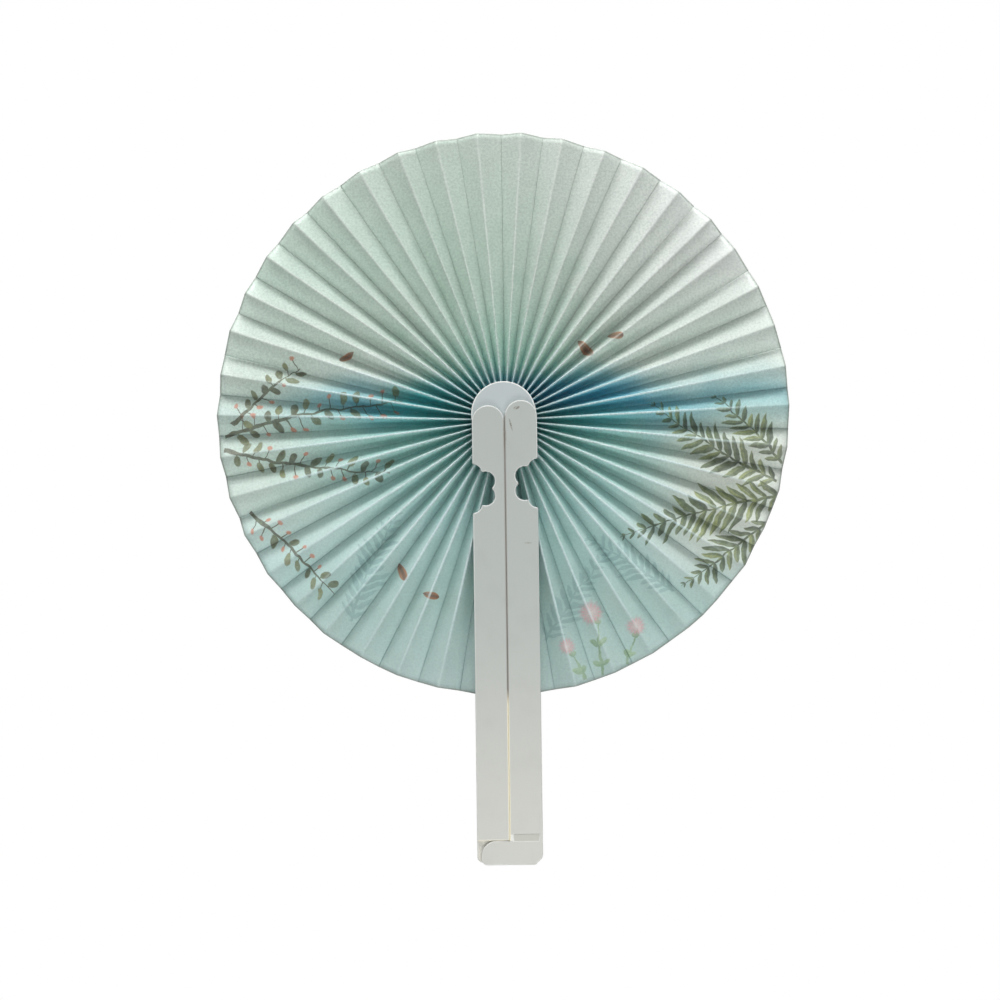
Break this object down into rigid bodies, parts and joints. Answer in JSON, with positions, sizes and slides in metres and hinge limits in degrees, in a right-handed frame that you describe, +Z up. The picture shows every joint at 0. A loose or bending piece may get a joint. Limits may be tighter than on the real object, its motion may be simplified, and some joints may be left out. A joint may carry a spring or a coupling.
{
  "type": "collapsible hand fan",
  "caption": "Round folding hand fan: a pleated translucent leaf opens to a full circle on a hub between two hinged half handles with cut-out windows, and folds away inside them.",
  "frame": {"origin": "middle of the hand's grip: on the centre seam, half way through the handle's depth, below the open leaf", "axes": "+Z up along the handle to the leaf, +X to the right of the open fan seen from the front, +Y from front to back"},
  "size_m": [0.239, 0.0166, 0.308],
  "materials": {
    "handle_plastic": "off-white moulded plastic, satin",
    "hub_plastic": "off-white moulded plastic, satin",
    "leaf_paper": "thin translucent pleated leaf, printed with a pale green and teal wash",
    "thread": "plain cotton thread"
  },
  "bodies": {
    "left_handle": {"left_handle_half": "handle_plastic"},
    "hub": {"front_hub_disc": "hub_plastic", "back_hub_disc": "hub_plastic", "left_pivot_post": "hub_plastic", "right_pivot_post": "hub_plastic", "gathering_thread": "thread"},
    "right_handle": {"right_handle_half": "handle_plastic"},
    "pleat_01": {"leaf_pleat_01": "leaf_paper"},
    "pleat_02": {"leaf_pleat_02": "leaf_paper"},
    "pleat_03": {"leaf_pleat_03": "leaf_paper"},
    "pleat_04": {"leaf_pleat_04": "leaf_paper"},
    "pleat_05": {"leaf_pleat_05": "leaf_paper"},
    "pleat_06": {"leaf_pleat_06": "leaf_paper"},
    "pleat_07": {"leaf_pleat_07": "leaf_paper"},
    "pleat_08": {"leaf_pleat_08": "leaf_paper"},
    "pleat_09": {"leaf_pleat_09": "leaf_paper"},
    "pleat_10": {"leaf_pleat_10": "leaf_paper"},
    "pleat_11": {"leaf_pleat_11": "leaf_paper"},
    "pleat_12": {"leaf_pleat_12": "leaf_paper"},
    "pleat_13": {"leaf_pleat_13": "leaf_paper"},
    "pleat_14": {"leaf_pleat_14": "leaf_paper"},
    "pleat_15": {"leaf_pleat_15": "leaf_paper"},
    "pleat_16": {"leaf_pleat_16": "leaf_paper"},
    "pleat_17": {"leaf_pleat_17": "leaf_paper"},
    "pleat_18": {"leaf_pleat_18": "leaf_paper"},
    "pleat_19": {"leaf_pleat_19": "leaf_paper"},
    "pleat_20": {"leaf_pleat_20": "leaf_paper"},
    "pleat_21": {"leaf_pleat_21": "leaf_paper"},
    "pleat_22": {"leaf_pleat_22": "leaf_paper"},
    "pleat_23": {"leaf_pleat_23": "leaf_paper"},
    "pleat_24": {"leaf_pleat_24": "leaf_paper"},
    "pleat_25": {"leaf_pleat_25": "leaf_paper"},
    "pleat_26": {"leaf_pleat_26": "leaf_paper"},
    "pleat_27": {"leaf_pleat_27": "leaf_paper"},
    "pleat_28": {"leaf_pleat_28": "leaf_paper"},
    "pleat_29": {"leaf_pleat_29": "leaf_paper"},
    "pleat_30": {"leaf_pleat_30": "leaf_paper"},
    "pleat_31": {"leaf_pleat_31": "leaf_paper"},
    "pleat_32": {"leaf_pleat_32": "leaf_paper"},
    "pleat_33": {"leaf_pleat_33": "leaf_paper"},
    "pleat_34": {"leaf_pleat_34": "leaf_paper"},
    "pleat_35": {"leaf_pleat_35": "leaf_paper"},
    "pleat_36": {"leaf_pleat_36": "leaf_paper"},
    "pleat_37": {"leaf_pleat_37": "leaf_paper"},
    "pleat_38": {"leaf_pleat_38": "leaf_paper"},
    "pleat_39": {"leaf_pleat_39": "leaf_paper"},
    "pleat_40": {"leaf_pleat_40": "leaf_paper"},
    "pleat_41": {"leaf_pleat_41": "leaf_paper"},
    "pleat_42": {"leaf_pleat_42": "leaf_paper"}
  },
  "joints": [
    {"name": "hub_swing", "type": "hinge", "parent": "left_handle", "child": "hub", "pos_m": [-0.0069, 0, 0.14699], "axis": [0, -1, 0], "range_deg": [0, 171.7], "deforming": ["gathering_thread"]},
    {"name": "right_handle_swing", "type": "hinge", "parent": "hub", "child": "right_handle", "pos_m": [0.0069, 0, 0.14901], "axis": [0, -1, 0], "range_deg": [0, 188.31]},
    {"name": "pleat_01_fold", "type": "hinge", "parent": "hub", "child": "pleat_01", "pos_m": [-0.00625, 0, 0.14689], "axis": [0, -1, 0], "range_deg": [-167.29, 0], "deforming": ["leaf_pleat_01"]},
    {"name": "pleat_02_fold", "type": "hinge", "parent": "hub", "child": "pleat_02", "pos_m": [-0.00597, 0, 0.14736], "axis": [0, -1, 0], "range_deg": [-158.47, 0], "deforming": ["leaf_pleat_02"]},
    {"name": "pleat_03_fold", "type": "hinge", "parent": "hub", "child": "pleat_03", "pos_m": [-0.00568, 0, 0.14778], "axis": [0, -1, 0], "range_deg": [-149.65, 0], "deforming": ["leaf_pleat_03"]},
    {"name": "pleat_04_fold", "type": "hinge", "parent": "hub", "child": "pleat_04", "pos_m": [-0.00539, 0, 0.14818], "axis": [0, -1, 0], "range_deg": [-140.85, 0], "deforming": ["leaf_pleat_04"]},
    {"name": "pleat_05_fold", "type": "hinge", "parent": "hub", "child": "pleat_05", "pos_m": [-0.00509, 0, 0.14853], "axis": [0, -1, 0], "range_deg": [-132.06, 0], "deforming": ["leaf_pleat_05"]},
    {"name": "pleat_06_fold", "type": "hinge", "parent": "hub", "child": "pleat_06", "pos_m": [-0.0048, 0, 0.14885], "axis": [0, -1, 0], "range_deg": [-123.31, 0], "deforming": ["leaf_pleat_06"]},
    {"name": "pleat_07_fold", "type": "hinge", "parent": "hub", "child": "pleat_07", "pos_m": [-0.0045, 0, 0.14914], "axis": [0, -1, 0], "range_deg": [-114.58, 0], "deforming": ["leaf_pleat_07"]},
    {"name": "pleat_08_fold", "type": "hinge", "parent": "hub", "child": "pleat_08", "pos_m": [-0.0042, 0, 0.14941], "axis": [0, -1, 0], "range_deg": [-105.89, 0], "deforming": ["leaf_pleat_08"]},
    {"name": "pleat_09_fold", "type": "hinge", "parent": "hub", "child": "pleat_09", "pos_m": [-0.00391, 0, 0.14965], "axis": [0, -1, 0], "range_deg": [-97.23, 0], "deforming": ["leaf_pleat_09"]},
    {"name": "pleat_10_fold", "type": "hinge", "parent": "hub", "child": "pleat_10", "pos_m": [-0.00361, 0, 0.14986], "axis": [0, -1, 0], "range_deg": [-88.61, 0], "deforming": ["leaf_pleat_10"]},
    {"name": "pleat_11_fold", "type": "hinge", "parent": "hub", "child": "pleat_11", "pos_m": [-0.00332, 0, 0.15005], "axis": [0, -1, 0], "range_deg": [-80.03, 0], "deforming": ["leaf_pleat_11"]},
    {"name": "pleat_12_fold", "type": "hinge", "parent": "hub", "child": "pleat_12", "pos_m": [-0.00303, 0, 0.15023], "axis": [0, -1, 0], "range_deg": [-71.48, 0], "deforming": ["leaf_pleat_12"]},
    {"name": "pleat_13_fold", "type": "hinge", "parent": "hub", "child": "pleat_13", "pos_m": [-0.00274, 0, 0.15039], "axis": [0, -1, 0], "range_deg": [-62.97, 0], "deforming": ["leaf_pleat_13"]},
    {"name": "pleat_14_fold", "type": "hinge", "parent": "hub", "child": "pleat_14", "pos_m": [-0.00245, 0, 0.15053], "axis": [0, -1, 0], "range_deg": [-54.5, 0], "deforming": ["leaf_pleat_14"]},
    {"name": "pleat_15_fold", "type": "hinge", "parent": "hub", "child": "pleat_15", "pos_m": [-0.00216, 0, 0.15066], "axis": [0, -1, 0], "range_deg": [-46.05, 0], "deforming": ["leaf_pleat_15"]},
    {"name": "pleat_16_fold", "type": "hinge", "parent": "hub", "child": "pleat_16", "pos_m": [-0.00188, 0, 0.15077], "axis": [0, -1, 0], "range_deg": [-37.64, 0], "deforming": ["leaf_pleat_16"]},
    {"name": "pleat_17_fold", "type": "hinge", "parent": "hub", "child": "pleat_17", "pos_m": [-0.0016, 0, 0.15088], "axis": [0, -1, 0], "range_deg": [-29.25, 0], "deforming": ["leaf_pleat_17"]},
    {"name": "pleat_18_fold", "type": "hinge", "parent": "hub", "child": "pleat_18", "pos_m": [-0.00132, 0, 0.151], "axis": [0, -1, 0], "range_deg": [-20.89, 0], "deforming": ["leaf_pleat_18"]},
    {"name": "pleat_19_fold", "type": "hinge", "parent": "hub", "child": "pleat_19", "pos_m": [-0.00105, 0, 0.15116], "axis": [0, -1, 0], "range_deg": [-12.54, 0], "deforming": ["leaf_pleat_19"]},
    {"name": "pleat_20_fold", "type": "hinge", "parent": "hub", "child": "pleat_20", "pos_m": [-0.00084, 0, 0.15167], "axis": [0, -1, 0], "range_deg": [-4.2, 0], "deforming": ["leaf_pleat_20"]},
    {"name": "pleat_21_fold", "type": "hinge", "parent": "hub", "child": "pleat_21", "pos_m": [-0.00035, 0, 0.1503], "axis": [0, -1, 0], "range_deg": [0, 4.15], "deforming": ["leaf_pleat_21"]},
    {"name": "pleat_22_fold", "type": "hinge", "parent": "hub", "child": "pleat_22", "pos_m": [-0.00013, 0, 0.1508], "axis": [0, -1, 0], "range_deg": [0, 12.47], "deforming": ["leaf_pleat_22"]},
    {"name": "pleat_23_fold", "type": "hinge", "parent": "hub", "child": "pleat_23", "pos_m": [0.00014, 0, 0.15091], "axis": [0, -1, 0], "range_deg": [0, 20.8], "deforming": ["leaf_pleat_23"]},
    {"name": "pleat_24_fold", "type": "hinge", "parent": "hub", "child": "pleat_24", "pos_m": [0.00042, 0, 0.15096], "axis": [0, -1, 0], "range_deg": [0, 29.14], "deforming": ["leaf_pleat_24"]},
    {"name": "pleat_25_fold", "type": "hinge", "parent": "hub", "child": "pleat_25", "pos_m": [0.00071, 0, 0.15097], "axis": [0, -1, 0], "range_deg": [0, 37.49], "deforming": ["leaf_pleat_25"]},
    {"name": "pleat_26_fold", "type": "hinge", "parent": "hub", "child": "pleat_26", "pos_m": [0.00101, 0, 0.15097], "axis": [0, -1, 0], "range_deg": [0, 45.85], "deforming": ["leaf_pleat_26"]},
    {"name": "pleat_27_fold", "type": "hinge", "parent": "hub", "child": "pleat_27", "pos_m": [0.00131, 0, 0.15094], "axis": [0, -1, 0], "range_deg": [0, 54.24], "deforming": ["leaf_pleat_27"]},
    {"name": "pleat_28_fold", "type": "hinge", "parent": "hub", "child": "pleat_28", "pos_m": [0.00161, 0, 0.1509], "axis": [0, -1, 0], "range_deg": [0, 62.65], "deforming": ["leaf_pleat_28"]},
    {"name": "pleat_29_fold", "type": "hinge", "parent": "hub", "child": "pleat_29", "pos_m": [0.00193, 0, 0.15084], "axis": [0, -1, 0], "range_deg": [0, 71.1], "deforming": ["leaf_pleat_29"]},
    {"name": "pleat_30_fold", "type": "hinge", "parent": "hub", "child": "pleat_30", "pos_m": [0.00225, 0, 0.15077], "axis": [0, -1, 0], "range_deg": [0, 79.57], "deforming": ["leaf_pleat_30"]},
    {"name": "pleat_31_fold", "type": "hinge", "parent": "hub", "child": "pleat_31", "pos_m": [0.00257, 0, 0.15068], "axis": [0, -1, 0], "range_deg": [0, 88.08], "deforming": ["leaf_pleat_31"]},
    {"name": "pleat_32_fold", "type": "hinge", "parent": "hub", "child": "pleat_32", "pos_m": [0.00291, 0, 0.15056], "axis": [0, -1, 0], "range_deg": [0, 96.63], "deforming": ["leaf_pleat_32"]},
    {"name": "pleat_33_fold", "type": "hinge", "parent": "hub", "child": "pleat_33", "pos_m": [0.00325, 0, 0.15043], "axis": [0, -1, 0], "range_deg": [0, 105.21], "deforming": ["leaf_pleat_33"]},
    {"name": "pleat_34_fold", "type": "hinge", "parent": "hub", "child": "pleat_34", "pos_m": [0.0036, 0, 0.15027], "axis": [0, -1, 0], "range_deg": [0, 113.83], "deforming": ["leaf_pleat_34"]},
    {"name": "pleat_35_fold", "type": "hinge", "parent": "hub", "child": "pleat_35", "pos_m": [0.00395, 0, 0.15009], "axis": [0, -1, 0], "range_deg": [0, 122.49], "deforming": ["leaf_pleat_35"]},
    {"name": "pleat_36_fold", "type": "hinge", "parent": "hub", "child": "pleat_36", "pos_m": [0.00432, 0, 0.14988], "axis": [0, -1, 0], "range_deg": [0, 131.18], "deforming": ["leaf_pleat_36"]},
    {"name": "pleat_37_fold", "type": "hinge", "parent": "hub", "child": "pleat_37", "pos_m": [0.0047, 0, 0.14963], "axis": [0, -1, 0], "range_deg": [0, 139.91], "deforming": ["leaf_pleat_37"]},
    {"name": "pleat_38_fold", "type": "hinge", "parent": "hub", "child": "pleat_38", "pos_m": [0.00508, 0, 0.14936], "axis": [0, -1, 0], "range_deg": [0, 148.66], "deforming": ["leaf_pleat_38"]},
    {"name": "pleat_39_fold", "type": "hinge", "parent": "hub", "child": "pleat_39", "pos_m": [0.00547, 0, 0.14905], "axis": [0, -1, 0], "range_deg": [0, 157.45], "deforming": ["leaf_pleat_39"]},
    {"name": "pleat_40_fold", "type": "hinge", "parent": "hub", "child": "pleat_40", "pos_m": [0.00587, 0, 0.14869], "axis": [0, -1, 0], "range_deg": [0, 166.25], "deforming": ["leaf_pleat_40"]},
    {"name": "pleat_41_fold", "type": "hinge", "parent": "hub", "child": "pleat_41", "pos_m": [0.00628, 0, 0.1483], "axis": [0, -1, 0], "range_deg": [0, 175.07], "deforming": ["leaf_pleat_41"]},
    {"name": "pleat_42_fold", "type": "hinge", "parent": "hub", "child": "pleat_42", "pos_m": [0.0067, 0, 0.14785], "axis": [0, -1, 0], "range_deg": [0, 183.89], "deforming": ["leaf_pleat_42"]}
  ],
  "couplings": [
    {"joint": "right_handle_swing", "follows": "hub_swing", "ratio": 1.0967},
    {"joint": "pleat_01_fold", "follows": "hub_swing", "ratio": -0.97429},
    {"joint": "pleat_02_fold", "follows": "hub_swing", "ratio": -0.92288},
    {"joint": "pleat_03_fold", "follows": "hub_swing", "ratio": -0.87152},
    {"joint": "pleat_04_fold", "follows": "hub_swing", "ratio": -0.82025},
    {"joint": "pleat_05_fold", "follows": "hub_swing", "ratio": -0.7691},
    {"joint": "pleat_06_fold", "follows": "hub_swing", "ratio": -0.7181},
    {"joint": "pleat_07_fold", "follows": "hub_swing", "ratio": -0.66728},
    {"joint": "pleat_08_fold", "follows": "hub_swing", "ratio": -0.61664},
    {"joint": "pleat_09_fold", "follows": "hub_swing", "ratio": -0.56622},
    {"joint": "pleat_10_fold", "follows": "hub_swing", "ratio": -0.51601},
    {"joint": "pleat_11_fold", "follows": "hub_swing", "ratio": -0.46602},
    {"joint": "pleat_12_fold", "follows": "hub_swing", "ratio": -0.41625},
    {"joint": "pleat_13_fold", "follows": "hub_swing", "ratio": -0.36669},
    {"joint": "pleat_14_fold", "follows": "hub_swing", "ratio": -0.31734},
    {"joint": "pleat_15_fold", "follows": "hub_swing", "ratio": -0.26817},
    {"joint": "pleat_16_fold", "follows": "hub_swing", "ratio": -0.21917},
    {"joint": "pleat_17_fold", "follows": "hub_swing", "ratio": -0.17032},
    {"joint": "pleat_18_fold", "follows": "hub_swing", "ratio": -0.1216},
    {"joint": "pleat_19_fold", "follows": "hub_swing", "ratio": -0.072971},
    {"joint": "pleat_20_fold", "follows": "hub_swing", "ratio": -0.024418},
    {"joint": "pleat_21_fold", "follows": "hub_swing", "ratio": 0.024092},
    {"joint": "pleat_22_fold", "follows": "hub_swing", "ratio": 0.072588},
    {"joint": "pleat_23_fold", "follows": "hub_swing", "ratio": 0.1211},
    {"joint": "pleat_24_fold", "follows": "hub_swing", "ratio": 0.16965},
    {"joint": "pleat_25_fold", "follows": "hub_swing", "ratio": 0.21828},
    {"joint": "pleat_26_fold", "follows": "hub_swing", "ratio": 0.267},
    {"joint": "pleat_27_fold", "follows": "hub_swing", "ratio": 0.31585},
    {"joint": "pleat_28_fold", "follows": "hub_swing", "ratio": 0.36485},
    {"joint": "pleat_29_fold", "follows": "hub_swing", "ratio": 0.41402},
    {"joint": "pleat_30_fold", "follows": "hub_swing", "ratio": 0.46337},
    {"joint": "pleat_31_fold", "follows": "hub_swing", "ratio": 0.51293},
    {"joint": "pleat_32_fold", "follows": "hub_swing", "ratio": 0.5627},
    {"joint": "pleat_33_fold", "follows": "hub_swing", "ratio": 0.61269},
    {"joint": "pleat_34_fold", "follows": "hub_swing", "ratio": 0.6629},
    {"joint": "pleat_35_fold", "follows": "hub_swing", "ratio": 0.71332},
    {"joint": "pleat_36_fold", "follows": "hub_swing", "ratio": 0.76396},
    {"joint": "pleat_37_fold", "follows": "hub_swing", "ratio": 0.81478},
    {"joint": "pleat_38_fold", "follows": "hub_swing", "ratio": 0.86578},
    {"joint": "pleat_39_fold", "follows": "hub_swing", "ratio": 0.91693},
    {"joint": "pleat_40_fold", "follows": "hub_swing", "ratio": 0.9682},
    {"joint": "pleat_41_fold", "follows": "hub_swing", "ratio": 1.0196},
    {"joint": "pleat_42_fold", "follows": "hub_swing", "ratio": 1.071}
  ]
}
